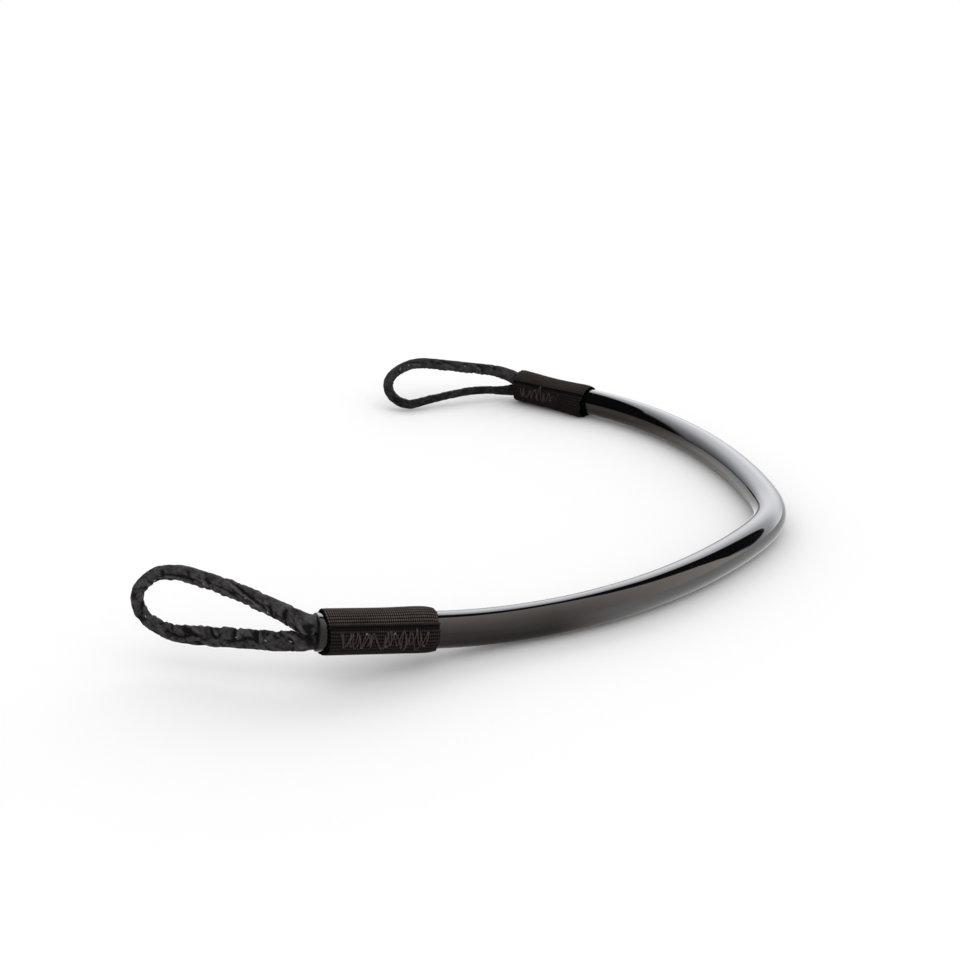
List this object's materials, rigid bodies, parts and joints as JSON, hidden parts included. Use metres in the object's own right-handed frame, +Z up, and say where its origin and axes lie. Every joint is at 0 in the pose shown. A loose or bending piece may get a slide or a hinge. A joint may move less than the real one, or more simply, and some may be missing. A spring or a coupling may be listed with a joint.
{
  "type": "kite bar harness line",
  "caption": "Bowed plastic tube drawn over a rope, with a sheathed rope eye and a stitched webbing cuff at each end, looped on a kite bar to hook into a harness.",
  "frame": {"origin": "on the table under the middle of the crown", "axes": "+X out through the crown, +Y towards the left end, +Z up; the bow lies on the table, with its right end sprung up off it"},
  "size_m": [0.1996, 0.2982, 0.0314],
  "materials": {
    "tube": "extruded black polyurethane, glossy, lightly scratched",
    "rope": "braided dark grey rope",
    "thread": "black bonded sewing thread and twine",
    "webbing": "black ribbed elastic webbing",
    "sheath": "black woven sheath, wrinkled, sewn along the inside"
  },
  "bodies": {
    "bow": {"tube": "tube", "core_rope": "rope", "right_rope_tail": "rope", "left_rope_tail": "rope", "right_seizing": "thread", "left_seizing": "thread", "right_cuff": "webbing", "left_cuff": "webbing", "right_cuff_zigzag": "thread", "left_cuff_zigzag": "thread"},
    "right_eye": {"right_eye_rope": "rope", "right_eye_sheath": "sheath", "right_sheath_seam": "thread"},
    "left_eye": {"left_eye_rope": "rope", "left_eye_sheath": "sheath", "left_sheath_seam": "thread"}
  },
  "joints": [
    {"name": "right_eye_swing", "type": "hinge", "parent": "bow", "child": "right_eye", "pos_m": [-0.12892, -0.15022, 0.01533], "axis": [0, 0, -1], "range_deg": [-95, 30], "stiffness_Nm_per_rad": 0.01},
    {"name": "left_eye_swing", "type": "hinge", "parent": "bow", "child": "left_eye", "pos_m": [-0.13315, 0.1382, 0.00683], "axis": [0, 0, 1], "range_deg": [-82, 28], "stiffness_Nm_per_rad": 0.01}
  ]
}
